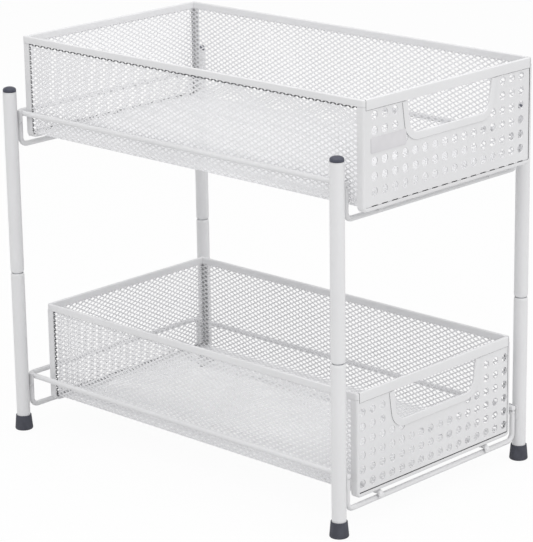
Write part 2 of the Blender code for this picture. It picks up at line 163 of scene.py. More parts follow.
# Stage and light
FLOOR_GLOW = 0.95
FLOOR_REACH = 40.0
FLOOR_DROP = 0.0002
WORLD_LEVEL = 0.72

# Bare plate on the upper front panel
PLATE_LEFT = -0.1036
PLATE_RIGHT = -0.0582
PLATE_TOP_BELOW_RIM = 0.0336
PLATE_HEIGHT = 0.0136
PLATE_THICKNESS = 0.0004
PLATE_CORNER = 0.0014
PLATE_BEVEL = 0.0001


def node_tree(name):
    mat = bpy.data.materials.new(name)
    mat.use_nodes = True
    tree = mat.node_tree
    return mat, tree, tree.nodes["Principled BSDF"]


def add_noise(tree, scale, detail=2.0, roughness=0.5):
    coords = tree.nodes.new("ShaderNodeTexCoord")
    noise = tree.nodes.new("ShaderNodeTexNoise")
    noise.inputs["Scale"].default_value = scale
    noise.inputs["Detail"].default_value = detail
    noise.inputs["Roughness"].default_value = roughness
    tree.links.new(coords.outputs["Object"], noise.inputs["Vector"])
    return noise.outputs["Fac"]


def mottle(tree, shader, dark, light, scale):
    """Slow change of colour over the surface."""
    ramp = tree.nodes.new("ShaderNodeValToRGB")
    ramp.color_ramp.elements[0].position = 0.35
    ramp.color_ramp.elements[0].color = (*dark, 1.0)
    ramp.color_ramp.elements[1].position = 0.65
    ramp.color_ramp.elements[1].color = (*light, 1.0)
    tree.links.new(add_noise(tree, scale), ramp.inputs["Fac"])
    tree.links.new(ramp.outputs["Color"], shader.inputs["Base Color"])


def vary_roughness(tree, shader, low, high, scale):
    spread = tree.nodes.new("ShaderNodeMapRange")
    spread.inputs["From Min"].default_value = 0.3
    spread.inputs["From Max"].default_value = 0.7
    spread.inputs["To Min"].default_value = low
    spread.inputs["To Max"].default_value = high
    tree.links.new(add_noise(tree, scale, 3.0), spread.inputs["Value"])
    tree.links.new(spread.outputs["Result"], shader.inputs["Roughness"])


def grain(tree, shader, scale, distance, strength):
    bump = tree.nodes.new("ShaderNodeBump")
    bump.inputs["Distance"].default_value = distance
    bump.inputs["Strength"].default_value = strength
    tree.links.new(add_noise(tree, scale, 4.0, 0.6), bump.inputs["Height"])
    tree.links.new(bump.outputs["Normal"], shader.inputs["Normal"])


def powder_coat(name, dark, light):
    """White powder coat: orange peel, slight change of gloss and tone."""
    mat, tree, shader = node_tree(name)
    mottle(tree, shader, dark, light, 9.0)
    vary_roughness(tree, shader, 0.36, 0.48, 60.0)
    grain(tree, shader, 900.0, 0.00004, 0.35)
    shader.inputs["Specular IOR Level"].default_value = 0.45
    return mat


def dark_plastic():
    mat, tree, shader = node_tree("dark_plastic")
    mottle(tree, shader, (0.050, 0.053, 0.078), (0.062, 0.066, 0.094), 120.0)
    vary_roughness(tree, shader, 0.32, 0.45, 400.0)
    grain(tree, shader, 2500.0, 0.00003, 0.4)
    return mat


def dark_rubber():
    mat, tree, shader = node_tree("dark_rubber")
    mottle(tree, shader, (0.048, 0.050, 0.066), (0.066, 0.069, 0.088), 150.0)
    vary_roughness(tree, shader, 0.62, 0.78, 300.0)
    grain(tree, shader, 1800.0, 0.00006, 0.6)
    return mat


def bare_steel():
    mat, tree, shader = node_tree("bare_steel")
    mottle(tree, shader, (0.50, 0.51, 0.53), (0.58, 0.59, 0.61), 80.0)
    vary_roughness(tree, shader, 0.25, 0.42, 500.0)
    shader.inputs["Metallic"].default_value = 1.0
    return mat


def painted_shade():
    """Near-black painted shade for the inside of channels, seams and slots, and for the mesh beside rims
    and strips.
    """
    mat, tree, shader = node_tree("painted_shade")
    mottle(tree, shader, (0.060, 0.060, 0.064), (0.085, 0.085, 0.090), 90.0)
    vary_roughness(tree, shader, 0.50, 0.70, 300.0)
    return mat


def shaded_coat():
    """Mid-grey painted shade for the inside of the folded strips."""
    mat, tree, shader = node_tree("shaded_coat")
    mottle(tree, shader, (0.50, 0.50, 0.51), (0.56, 0.56, 0.57), 90.0)
    vary_roughness(tree, shader, 0.45, 0.65, 300.0)
    return mat


def plate_finish():
    """Satin metal plate, a little darker and greyer than the panel behind it."""
    mat, tree, shader = node_tree("plate_finish")
    mottle(tree, shader, (0.66, 0.65, 0.67), (0.71, 0.70, 0.72), 60.0)
    vary_roughness(tree, shader, 0.30, 0.40, 200.0)
    grain(tree, shader, 1500.0, 0.00002, 0.3)
    shader.inputs["Metallic"].default_value = 0.25
    return mat


WHITE = powder_coat("white_powder_coat", (0.735, 0.735, 0.745), (0.765, 0.765, 0.775))
# The mesh's copy of the white coat is painted lighter, standing in for more light falling on the strands
LIT_MESH_WHITE = powder_coat("mesh_coat_painted_light", (0.81, 0.81, 0.825), (0.85, 0.85, 0.865))
PLASTIC = dark_plastic()
RUBBER = dark_rubber()
STEEL = bare_steel()
PLATE = plate_finish()
# The next two are painted shade: near black in channels, seams and slots, mid grey inside the strips
PAINTED_SHADE = painted_shade()
SHADED = shaded_coat()


def add_piece(name, verts, faces, material, body, slot, replaced=(), sharp=35.0):
    """Make one closed, smooth-shaded mesh piece that rides on a body."""
    mesh = bpy.data.meshes.new(name)
    mesh.from_pydata([tuple(v) for v in verts], [], faces)
    bm = bmesh.new()
    bm.from_mesh(mesh)
    bmesh.ops.recalc_face_normals(bm, faces=bm.faces)
    if bm.calc_volume(signed=True) < 0.0:
        bmesh.ops.reverse_faces(bm, faces=bm.faces)
    bm.to_mesh(mesh)
    bm.free()
    mesh.materials.append(material)
    mesh.shade_smooth()
    mesh.set_sharp_from_angle(angle=math.radians(sharp))
    obj = bpy.data.objects.new(name, mesh)
    bpy.context.collection.objects.link(obj)
    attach(obj, body)
    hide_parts(*replaced)
    return obj


def turned(profile, centre, closed):
    """Turn an outline of (radius, z) points; a closed outline makes a tube."""
    verts = []
    rings = []
    for radius, z in profile:
        if radius < 1e-7:
            rings.append([len(verts)])
            verts.append((centre.x, centre.y, z))
            continue
        rings.append(list(range(len(verts), len(verts) + ROUND_SIDES)))
        for k in range(ROUND_SIDES):
            a = math.tau * k / ROUND_SIDES
            verts.append((centre.x + radius * math.cos(a), centre.y + radius * math.sin(a), z))
    faces = []
    spans = len(rings) if closed else len(rings) - 1
    for i in range(spans):
        a, b = rings[i], rings[(i + 1) % len(rings)]
        for k in range(ROUND_SIDES):
            n = (k + 1) % ROUND_SIDES
            if len(a) == 1:
                faces.append((a[0], b[n], b[k]))
            elif len(b) == 1:
                faces.append((a[k], a[n], b[0]))
            else:
                faces.append((a[k], a[n], b[n], b[k]))
    return verts, faces


def rounded_path(corners, radius, steps=10, closed=False):
    """Points of a path through the corners, each inner corner replaced by an arc."""
    points = []
    count = len(corners)
    for i, corner in enumerate(corners):
        corner = Vector(corner)
        if not closed and i in (0, count - 1):
            points.append(corner)
            continue
        before = (Vector(corners[i - 1]) - corner).normalized()
        after = (Vector(corners[(i + 1) % count]) - corner).normalized()
        half = before.angle(after) / 2
        reach = radius / math.tan(half)
        centre = corner + (before + after).normalized() * (radius / math.sin(half))
        start = corner + before * reach - centre
        end = corner + after * reach - centre
        sweep = start.angle(end)
        for k in range(steps + 1):
            a = sweep * k / steps
            points.append(centre + (start * math.sin(sweep - a) + end * math.sin(a)) / math.sin(sweep))
    return points


def wire(points, flatness=None):
    """Round wire along the points, with slightly rounded ends.

    flatness gives for each point how far the wire is pressed flat there, and such a wire
    widens along X.
    """
    flatness = flatness or [0.0] * len(points)
    points = [Vector(p) for p in points]
    tangents = []
    for i in range(len(points)):
        before = points[max(i - 1, 0)]
        after = points[min(i + 1, len(points) - 1)]
        tangents.append((after - before).normalized())
    side = Vector((1.0, 0.0, 0.0)) if any(flatness) else tangents[0].orthogonal().normalized()
    stations = []
    for i, (point, tangent) in enumerate(zip(points, tangents)):
        if i > 0:
            side = (tangents[i - 1].rotation_difference(tangent) @ side).normalized()
        stations.append((point, tangent, side, WIRE_RADIUS))
    # Each end grows to the full radius in two steps: distance from the end, and radius there
    grown = [(0.0, WIRE_RADIUS - WIRE_END_ROUND),
             (WIRE_END_ROUND * math.sqrt(0.75) / 2, WIRE_RADIUS - WIRE_END_ROUND / 2),
             (WIRE_END_ROUND, WIRE_RADIUS)]
    point, tangent, side, _ = stations[0]
    head = [(point + tangent * reach, tangent, side, r) for reach, r in grown]
    point, tangent, side, _ = stations[-1]
    tail = [(point - tangent * reach, tangent, side, r) for reach, r in reversed(grown)]
    verts = []
    faces = []
    rings = head + stations[1:-1] + tail
    pressed = [flatness[0]] * 3 + flatness[1:-1] + [flatness[-1]] * 3
    for (point, tangent, across, r), flat in zip(rings, pressed):
        up = tangent.cross(across)
        wide = r * (1.0 + TAB_WIDENING * flat)
        thick = r * (1.0 - TAB_FLATTENING * flat)
        for k in range(WIRE_SIDES):
            a = math.tau * k / WIRE_SIDES
            verts.append(point + across * (wide * math.cos(a)) + up * (thick * math.sin(a)))
    for i in range(len(rings) - 1):
        for k in range(WIRE_SIDES):
            n = (k + 1) % WIRE_SIDES
            a, b = i * WIRE_SIDES, (i + 1) * WIRE_SIDES
            faces.append((a + k, a + n, b + n, b + k))
    faces.append(tuple(range(WIRE_SIDES)))
    faces.append(tuple(reversed(range(len(verts) - WIRE_SIDES, len(verts)))))
    return verts, faces


def swept(path, profiles, place):
    """Sweep closed profiles of (offset, depth) points, one for each point of a flat path."""
    last = len(path) - 1
    size = len(profiles[0])
    verts = []
    for i, point in enumerate(path):
        point = Vector(point).to_2d()
        before = Vector(path[max(i - 1, 0)]).to_2d()
        after = Vector(path[min(i + 1, last)]).to_2d()
        into = (point - before).normalized() if i > 0 else (after - point).normalized()
        out = (after - point).normalized() if i < last else into
        along = (into + out).normalized()
        left = Vector((-along.y, along.x)) / along.dot(into)
        for offset, depth in profiles[i]:
            flat = point + left * offset
            verts.append(place(flat.x, flat.y, depth))
    faces = []
    for i in range(last):
        a, b = i * size, (i + 1) * size
        for k in range(size):
            n = (k + 1) % size
            faces.append((a + k, a + n, b + n, b + k))
    faces.append(tuple(range(size)))
    faces.append(tuple(reversed(range(len(verts) - size, len(verts)))))
    return verts, faces


def arc(centre_u, centre_v, radius, start, end, steps):
    """Points of an arc between two angles in degrees."""
    points = []
    for k in range(steps + 1):
        a = math.radians(start + (end - start) * k / steps)
        points.append((centre_u + radius * math.cos(a), centre_v + radius * math.sin(a)))
    return points


def on_plan(u, v, w):
    """Place for a path on the ground plan, its depth upwards."""
    return u, v, w


def upright(y):
    """Place for a sheet or path that stands across the front, its depth backwards from y."""
    return lambda u, v, w: (u, y + w, v)


def enclosed(x, y, loops):
    """True where a point is inside the outline and outside the holes."""
    crossings = 0
    for loop in loops:
        for (ax, ay), (bx, by) in zip(loop, loop[1:] + loop[:1]):
            if (ay > y) != (by > y) and x < ax + (y - ay) / (by - ay) * (bx - ax):
                crossings += 1
    return crossings % 2 == 1


def flat_sheet(outline, holes, thickness, place):
    """A flat sheet with holes; outline and holes are loops of (u, v) points."""
    loops = [[tuple(p) for p in outline]] + holes
    points = []
    sides = []
    for loop in loops:
        start = len(points)
        points += [Vector(p) for p in loop]
        sides += [(start + i, start + (i + 1) % len(loop)) for i in range(len(loop))]
    coords, _, triangles, _, _, _ = delaunay_2d_cdt(points, sides, [], 1, 1e-7)
    kept = []
    for corners in triangles:
        middle = sum((coords[i] for i in corners), Vector((0.0, 0.0))) / len(corners)
        if enclosed(middle.x, middle.y, loops):
            kept.append(tuple(corners))
    count = len(coords)
    verts = [place(co.x, co.y, 0.0) for co in coords]
    verts += [place(co.x, co.y, thickness) for co in coords]
    directed = set()
    for corners in kept:
        for i in range(len(corners)):
            directed.add((corners[i], corners[(i + 1) % len(corners)]))
    faces = list(kept)
    faces += [tuple(reversed([i + count for i in corners])) for corners in kept]
    faces += [(b, a, a + count, b + count) for a, b in directed if (b, a) not in directed]
    return verts, faces


def expanded_metal(length, height, place):
    """Diamond mesh as one closed network of strands, u along the length and v up.

    place() takes arrays of u, v and depth, and gives an array of points. The pitch is
    fitted to the sheet, and the strands end on its borders.
    """
    columns = round(length / DIAMOND_LENGTH)
    rows = 2 * round(height / DIAMOND_HEIGHT)
    step_u, step_v = length / columns, height / rows
    slope = math.hypot(step_u / 2, step_v)
    half_u = STRAND / 2 * slope / step_v
    half_v = STRAND / 2 * slope / (step_u / 2)
    index = {}
    knots = []
    for row in range(rows + 1):
        for column in range(columns + 1 - row % 2):
            index[row, column] = len(knots)
            knots.append(((column + 0.5 * (row % 2)) * step_u, row * step_v))
    knots = np.array(knots)
    # Corners of each knot: left, bottom, right, top; bottom and top lean out of the plane
    lean = np.array([0.0, -STRAND_TILT, 0.0, STRAND_TILT])
    du = np.array([-half_u, 0.0, half_u, 0.0])
    dv = np.array([0.0, -half_v, 0.0, half_v])
    u = np.clip((knots[:, :1] + du).ravel(), 0.0, length)
    v = np.clip((knots[:, 1:] + dv).ravel(), 0.0, height)
    tilt = np.tile(lean, len(knots))
    middle = STRAND_TILT + STRAND_THICKNESS / 2
    near = place(u, v, middle + tilt - STRAND_THICKNESS / 2)
    far = place(u, v, middle + tilt + STRAND_THICKNESS / 2)
    verts = np.concatenate([near, far])
    back = len(near)
    left, bottom, right, top = 0, 1, 2, 3
    faces = []

    def both(*corners):
        faces.append(corners)
        faces.append(tuple(c + back for c in reversed(corners)))

    def wall(a, b):
        faces.append((b, a, a + back, b + back))

    for (row, column), knot in index.items():
        k = 4 * knot
        both(k + left, k + bottom, k + right, k + top)
        shift = row % 2
        above_right = index.get((row + 1, column + shift))
        above_left = index.get((row + 1, column + shift - 1))
        below_right = index.get((row - 1, column + shift))
        below_left = index.get((row - 1, column + shift - 1))
        if above_right is not None:
            n = 4 * above_right
            both(k + top, k + right, n + bottom, n + left)
            wall(k + right, n + bottom)
            wall(n + left, k + top)
        else:
            wall(k + right, k + top)
        if above_left is not None:
            n = 4 * above_left
            both(k + left, k + top, n + right, n + bottom)
            wall(k + top, n + right)
            wall(n + bottom, k + left)
        else:
            wall(k + top, k + left)
        if below_right is None:
            wall(k + bottom, k + right)
        if below_left is None:
            wall(k + left, k + bottom)
    return verts, faces


def shade_edges(obj, sheltered):
    """Paint shade on the outer faces of a mesh that lie just beside a rim or strip: they get the near-black
    painted-shade material.
    """
    mesh = obj.data
    mesh.materials.append(PAINTED_SHADE)
    count = len(mesh.polygons)
    centers = np.empty(count * 3)
    mesh.polygons.foreach_get("center", centers)
    normals = np.empty(count * 3)
    mesh.polygons.foreach_get("normal", normals)
    chosen = sheltered(centers.reshape(-1, 3), normals.reshape(-1, 3))
    mesh.polygons.foreach_set("material_index", chosen.astype(np.int32))


def coat_node(name, material):
    """Give one of the frame's own nodes another finish."""
    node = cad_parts[name]
    node.data.materials.clear()
    node.data.materials.append(material)
    return node


def add_legs():
    for corner in CORNERS:
        foot_low, foot_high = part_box("foot_" + corner)
        lower_low, lower_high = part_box("lower_leg_" + corner)
        upper_low, upper_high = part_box("upper_leg_" + corner)
        cap_low, cap_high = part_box("leg_cap_" + corner)
        centre = (foot_low + foot_high) / 2
        radius = (lower_high.x - lower_low.x) / 2

        shoulder = arc(0.0, 0.0, 1.0, 0.0, 90.0, 6)
        drop = radius - NECK_RADIUS
        lower = [(TUBE_BORE_RADIUS, lower_high.z), (TUBE_BORE_RADIUS, lower_low.z), (radius, lower_low.z)]
        lower += [(NECK_RADIUS + drop * c, lower_high.z - NECK_LENGTH * (1 - s)) for c, s in shoulder]
        add_piece("lower_tube_" + corner, *turned(lower, centre, True), WHITE, "frame", "white_coat",
                  ["lower_leg_" + corner])
        upper = [(TUBE_BORE_RADIUS, upper_low.z), (TUBE_BORE_RADIUS, upper_high.z), (radius, upper_high.z)]
        upper += [(NECK_RADIUS + drop * c, upper_low.z + NECK_LENGTH * (1 - s)) for c, s in shoulder]
        add_piece("upper_tube_" + corner, *turned(upper, centre, True), WHITE, "frame", "white_coat",
                  ["upper_leg_" + corner])

        seat = upper_high.z + GAP
        cap_radius = (cap_high.x - cap_low.x) / 2
        dome_low = seat + CAP_BAND
        dome_height = cap_high.z - dome_low
        cap = [(0.0, cap_low.z), (TUBE_BORE_RADIUS - GAP, cap_low.z), (TUBE_BORE_RADIUS - GAP, seat),
               (cap_radius - CAP_EDGE, seat), (cap_radius, seat + CAP_EDGE), (cap_radius, dome_low)]
        cap += [(cap_radius * c, dome_low + dome_height * s) for c, s in arc(0.0, 0.0, 1.0, 9.0, 90.0, 10)]
        cap[-1] = (0.0, cap_high.z)
        add_piece("tube_cap_" + corner, *turned(cap, centre, False), PLASTIC, "frame", "dark_plastic",
                  ["leg_cap_" + corner])

        base = (foot_high.x - foot_low.x) / 2
        top = foot_high.z
        socket = radius + GAP
        foot = [(0.0, FOOT_HOLLOW), (base - FOOT_RING - FOOT_RING_SLOPE, FOOT_HOLLOW),
                (base - FOOT_RING, 0.0)]
        foot += arc(base - FOOT_EDGE_ROUND, FOOT_EDGE_ROUND, FOOT_EDGE_ROUND, -90.0, 0.0, 6)
        foot += [(base - FOOT_TAPER, FOOT_BAND)]
        foot += arc(FOOT_TOP_RADIUS - FOOT_TOP_ROUND, top - FOOT_TOP_ROUND, FOOT_TOP_ROUND, 10.0, 90.0, 4)
        foot += [(socket, top), (socket, FOOT_FLOOR), (0.0, FOOT_FLOOR)]
        add_piece("rubber_foot_" + corner, *turned(foot, centre, False), RUBBER, "frame", "dark_rubber",
                  ["foot_" + corner])
        coat_node("leg_sleeve_" + corner, STEEL)


def add_cradle(tier):
    ring_low, ring_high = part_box(tier + "_guide_ring")
    front_low, front_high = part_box(tier + "_front_cross_wire")
    rear_low, rear_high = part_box(tier + "_rear_cross_wire")
    rail_z = (ring_low.z + ring_high.z) / 2
    wire_x = ring_high.x - WIRE_RADIUS
    rear_y = ring_high.y - WIRE_RADIUS
    ring = rounded_path([(wire_x, ring_low.y, rail_z), (wire_x, rear_y, rail_z),
                         (-wire_x, rear_y, rail_z), (-wire_x, ring_low.y, rail_z)], WIRE_BEND_RADIUS)
    add_piece(tier + "_rail_wire", *wire(ring), WHITE, "frame", "white_coat", [tier + "_guide_ring"])

    cross_z = front_low.z + WIRE_RADIUS
    places = {"front": (front_low.y + front_high.y) / 2, "rear": (rear_low.y + rear_high.y) / 2}
    for side, y in places.items():
        top = front_high.z
        corners = [(-wire_x, y, top), (-wire_x, y, cross_z), (wire_x, y, cross_z), (wire_x, y, top)]
        path = rounded_path(corners, WIRE_BEND_RADIUS)
        add_piece(tier + "_" + side + "_support_wire", *wire(path), WHITE, "frame", "white_coat",
                  [tier + "_" + side + "_cross_wire"])

    steps = 10
    hooks = ((places["front"], -1, range(steps, -1, -1)), (places["rear"], 1, range(steps + 1)))
    for side in ("left", "right"):
        low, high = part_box(tier + "_runner_" + side)
        x = (low.x + high.x) / 2
        path = []
        flatness = []
        for y, direction, order in hooks:
            for k in order:
                a = HOOK_ANGLE * k / steps
                reach = HOOK_RADIUS - WIRE_RADIUS * TAB_FLATTENING * k / steps
                path.append((x, y + direction * reach * math.sin(a), cross_z + reach * math.cos(a)))
                flatness.append(k / steps)
        add_piece(tier + "_runner_wire_" + side, *wire(path, flatness), WHITE, "frame", "white_coat",
                  [tier + "_runner_" + side])

    for end in ("front", "rear"):
        for side in ("left", "right"):
            node = coat_node(tier + "_bracket_" + end + "_" + side, WHITE)


def handle_outline(top_z, extra):
    """Left-to-right path around the handle cut-out, widened by extra."""
    bottom_z = top_z - HANDLE_DEPTH
    corners = [(-HANDLE_TOP_HALF_WIDTH, top_z), (-HANDLE_BOTTOM_HALF_WIDTH, bottom_z),
               (HANDLE_BOTTOM_HALF_WIDTH, bottom_z), (HANDLE_TOP_HALF_WIDTH, top_z)]
    path = rounded_path(corners, HANDLE_CORNER_RADIUS)
    slope = (HANDLE_TOP_HALF_WIDTH - HANDLE_BOTTOM_HALF_WIDTH) / HANDLE_DEPTH
    side_reach = extra * math.hypot(1.0, slope)
    widened = []
    for i, point in enumerate(path):
        if i in (0, len(path) - 1):
            sign = -1 if i == 0 else 1
            widened.append((point.x + sign * side_reach, point.y))
            continue
        into = (point - path[i - 1]).normalized()
        out = (path[i + 1] - point).normalized()
        along = (into + out).normalized()
        moved = point + Vector((along.y, -along.x)) / along.dot(into) * extra
        widened.append((moved.x, moved.y))
    return widened


def perforations(cut, half_width, low_z, high_z, first_row_z):
    """Round holes on a square grid, without those that would break an edge of the panel."""
    widest = half_width - HOLE_MARGIN
    lowest = low_z + HOLE_MARGIN
    highest = high_z - HOLE_MARGIN
    loops = []
    for row in range(HOLE_ROWS):
        z = first_row_z + row * HOLE_PITCH
        for column in range(HOLE_COLUMNS):
            x = (column - (HOLE_COLUMNS - 1) / 2) * HOLE_PITCH
            loop = [(x + HOLE_RADIUS * math.cos(math.tau * k / HOLE_SIDES),
                     z + HOLE_RADIUS * math.sin(math.tau * k / HOLE_SIDES)) for k in range(HOLE_SIDES)]
            clear = all(abs(u) < widest and lowest < v < highest for u, v in loop)
            if clear and not any(enclosed(u, v, [cut]) for u, v in loop):
                loops.append(loop)
    return loops


def channel_profile(top_z, outer_height):
    """Section of a channel over a top edge: offsets inwards from its outer face, and heights."""
    r = RIM_TOP_ROUND
    lip = RIM_LIP
    low = top_z - outer_height
    inner_low = top_z - RIM_INNER_HEIGHT
    roof = top_z - RIM_ROOF
    profile = [(lip, low), (0.0, low + lip)]
    profile += arc(r, top_z - r, r, 180.0, 90.0, 6)
    profile += arc(RIM_WIDTH - r, top_z - r, r, 90.0, 0.0, 6)
    profile += [(RIM_WIDTH, inner_low + lip), (RIM_WIDTH - lip, inner_low),
                (RIM_WIDTH - RIM_WALL, inner_low), (RIM_WIDTH - RIM_WALL, roof),
                (RIM_WALL, roof), (RIM_WALL, low)]
    return profile


def shade_inside(obj, spans, size, inside, material):
    """Paint shade on the faces of a swept piece between two points of its profile, with the given material.
    """
    obj.data.materials.append(material)
    for i in range(spans):
        for k in range(*inside):
            obj.data.polygons[i * size + k].material_index = 1


def shade_faces(obj, material, chosen):
    """Paint shade on the faces of a piece that chosen() picks, with the given material."""
    obj.data.materials.append(material)
    for face in obj.data.polygons:
        if chosen(face):
            face.material_index = 1


def add_rim(tier, body):
    """Channel over the side and back walls and the front corners, and the deeper front channel."""
    low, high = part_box(tier + "_basket_rim")
    node = tier + "_basket_rim"
    seam_x = high.x - STRIP_FACE
    corners = [(seam_x, low.y), (high.x, low.y), (high.x, high.y), (low.x, high.y), (low.x, low.y),
               (-seam_x, low.y)]
    path = rounded_path(corners, CORNER_RADIUS, 12)
    profiles = [channel_profile(high.z, RIM_SIDE_HEIGHT)] * len(path)
    channel = add_piece(node + "_channel", *swept(path, profiles, on_plan), WHITE, body, "white_coat",
                        [node])
    # The channel's inside gets near-black painted shade
    shade_inside(channel, len(path) - 1, len(profiles[0]), RIM_INSIDE, PAINTED_SHADE)
    path = [(-seam_x + SEAM, low.y), (seam_x - SEAM, low.y)]
    profiles = [channel_profile(high.z, RIM_FRONT_HEIGHT)] * len(path)
    front = add_piece(node + "_front", *swept(path, profiles, on_plan), WHITE, body, "white_coat", [node])
    # The front channel's ends, at the seams beside the corners, get near-black painted shade
    shade_faces(front, PAINTED_SHADE, lambda face: abs(face.normal.x) > FACING)


def strip_profile(side, face, hem):
    """Section of an edge strip: its face, rounded fold, side flange and turned-in hem."""
    r = FOLD_RADIUS
    outer = [(0.0, side)] + arc(r, r, r, 180.0, 270.0, 8) + [(face, 0.0)]
    inner = [(face, STRIP)] + arc(r, r, r - STRIP, 270.0, 180.0, 8)
    inner += [(STRIP, side - STRIP), (hem, side - STRIP), (hem, side)]
    return outer + inner


def add_strip(name, node, body, half, low_z, top_z, plane_y, inward, side, bottom, hem):
    """Folded strip down one wall's edge, along the bottom and up the other edge.

    Along the bottom its face is taller, and its hem turns up to the mesh floor.
    """
    steps = 10
    corners = [(-half, top_z), (-half, low_z), (half, low_z), (half, top_z)]
    path = rounded_path(corners, FRAME_BEND_RADIUS, steps)
    turn = [k / steps for k in range(steps + 1)]
    profiles = []
    for share in [0.0] + turn + turn[::-1] + [0.0]:
        face = STRIP_FACE + (bottom - STRIP_FACE) * share
        profiles.append(strip_profile(side, face, 2 * STRIP + (hem - 2 * STRIP) * share))

    def place(u, v, w):
        return u, plane_y + inward * w, v

    strip = add_piece(name, *swept(path, profiles, place), WHITE, body, "white_coat", [node])
    # The strip's inner faces get mid-grey painted shade
    shade_inside(strip, len(path) - 1, len(profiles[0]), STRIP_INSIDE, SHADED)


def panel_outline(half, low_z, top_z, slots, slot_z, cut):
    """Outline of the front panel: slots in its bottom edge and the handle cut-out in its top."""
    ease = SLOT_EASE
    corner = PANEL_CORNER
    outline = [(-half, top_z)] + arc(corner - half, low_z + corner, corner, 180.0, 270.0, 5)
    for left, right in slots:
        outline += [(left, low_z), (left, slot_z - ease), (left + ease, slot_z), (right - ease, slot_z),
                    (right, slot_z - ease), (right, low_z)]
    outline += arc(half - corner, low_z + corner, corner, 270.0, 360.0, 5)
    return outline + [(half, top_z)] + list(reversed(cut))


def add_basket(tier):
    body = tier + "_basket"
    prefix = tier + "_basket_"
    add_rim(tier, body)
    rim_low, rim_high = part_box(prefix + "rim")
    floor_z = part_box(prefix + "floor_mesh")[0].z
    low_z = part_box(prefix + "front_frame")[0].z
    panel_high_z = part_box(prefix + "front_panel")[1].z
    ring_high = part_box(tier + "_guide_ring")[1]
    half = rim_high.x
    butt_z = rim_high.z - RIM_SIDE_HEIGHT - BUTT_GAP
    hem = floor_z - low_z - FINE_GAP

    add_strip(prefix + "front_strip", prefix + "front_frame", body, half, low_z, butt_z, rim_low.y, 1,
              STRIP_SIDE["front"], STRIP_BOTTOM_FACE["front"], hem)

    # The back strip runs between the guide wires. Where the rim is wider it is set in, and there
    # it reaches up inside the channel.
    between = ring_high.x - 2 * WIRE_RADIUS - GAP
    inset = max(0.0, half - between)
    back_top = butt_z
    if inset:
        back_top += RIM_SIDE_HEIGHT - RIM_ROOF - STRIP_TOP_GAP
    add_strip(prefix + "back_strip", prefix + "back_frame", body, half - inset, low_z, back_top,
              rim_high.y, -1, STRIP_SIDE["back"], STRIP_BOTTOM_FACE["back"], hem)

    # Perforated front panel
    panel_y = rim_low.y + PANEL_INSET
    panel_half = half - STRIP_FACE - PANEL_SIDE_SEAM[tier]
    slot_z = low_z + STRIP_BOTTOM_FACE["front"] + BOTTOM_SLOT
    panel_top = rim_high.z - RIM_FRONT_HEIGHT - PANEL_TOP_SEAM
    cut = handle_outline(panel_high_z, TRIM_WIDTH - TRIM_GROOVE_DEPTH + GAP)
    cut = [(cut[0][0], panel_top)] + cut + [(cut[-1][0], panel_top)]
    first_row = floor_z + LOWEST_ROW[tier]
    if first_row - HOLE_PITCH + HOLE_RADIUS > slot_z:
        middles = [(column - (HOLE_COLUMNS - 1) / 2) * HOLE_PITCH for column in range(HOLE_COLUMNS)]
        slots = [(x - HOLE_RADIUS, x + HOLE_RADIUS) for x in middles]
        panel_bottom = low_z + STRIP_BOTTOM_FACE["front"] + FINE_GAP
    else:
        slots = []
        panel_bottom = slot_z
    outline = panel_outline(panel_half, panel_bottom, panel_top, slots, slot_z, cut)
    holes = perforations(cut, panel_half, slot_z, panel_top, first_row)
    sheet = flat_sheet(outline, holes, SHEET, upright(panel_y))
    panel = add_piece(prefix + "perforated_front", *sheet, WHITE, body, "white_coat",
                      [prefix + "front_panel"])

    # The panel's cut edges at its sides and top get near-black painted shade, for the dark seams
    def cut_edge(face):
        at_side = abs(face.center.x) > panel_half - PANEL_EDGE
        at_top = face.center.z > panel_top - PANEL_EDGE
        return (at_side or at_top) and abs(face.normal.y) < FACING

    shade_faces(panel, PAINTED_SHADE, cut_edge)

    # Backing frame behind the panel's edges and its bottom
    back_y = panel_y + SHEET + FINE_GAP
    outer_half = half - RIM_WALL - FINE_GAP
    inner_half = half - BACKING_WIDTH
    back_low = low_z + STRIP + FINE_GAP
    hem_top = floor_z + HEM_HEIGHT
    under_roof = rim_high.z - RIM_ROOF - GAP
    r = FRAME_BEND_RADIUS
    outline = [(-outer_half, under_roof)] + arc(r - outer_half, back_low + r, r, 180.0, 270.0, 8)
    outline += arc(outer_half - r, back_low + r, r, 270.0, 360.0, 8)
    outline += [(outer_half, under_roof), (inner_half, under_roof), (inner_half, hem_top),
                (-inner_half, hem_top), (-inner_half, under_roof)]
    sheet = flat_sheet(outline, [], STRIP, upright(back_y))
    backing = add_piece(prefix + "panel_backing", *sheet, WHITE, body, "white_coat")
    # The backing's front face gets near-black painted shade, seen through the seams and slots
    shade_faces(backing, PAINTED_SHADE, lambda face: face.normal.y < -FACING)

    # Walls and floor are one sheet of expanded metal, bent up along both sides
    start_y = back_y + STRIP + FINE_GAP
    mesh_depth = 2 * STRAND_TILT + STRAND_THICKNESS
    mesh_back_y = rim_high.y - MESH_INSET
    end_y = mesh_back_y - mesh_depth - FINE_GAP
    mesh_half = half - MESH_INSET
    r = MESH_BEND_RADIUS
    wall = under_roof - floor_z - r
    bend = r * math.pi / 2
    total = 2 * wall + 2 * bend + 2 * (mesh_half - r)

    def wrap(u, v, w):
        """v runs down the left wall, across the floor and up the right wall."""
        x = np.empty_like(v)
        z = np.empty_like(v)
        for mirror in (False, True):
            s = total - v if mirror else v
            here = s <= total / 2
            s = s[here]
            depth = w[here]
            angle = np.clip((s - wall) / r, 0.0, math.pi / 2)
            along = np.clip(s - wall - bend, 0.0, None)
            px = -mesh_half + r - (r - depth) * np.cos(angle) + along
            z[here] = floor_z + r - (r - depth) * np.sin(angle) + np.clip(wall - s, 0.0, None)
            x[here] = -px if mirror else px
        return np.stack([x, start_y + u, z], axis=1)

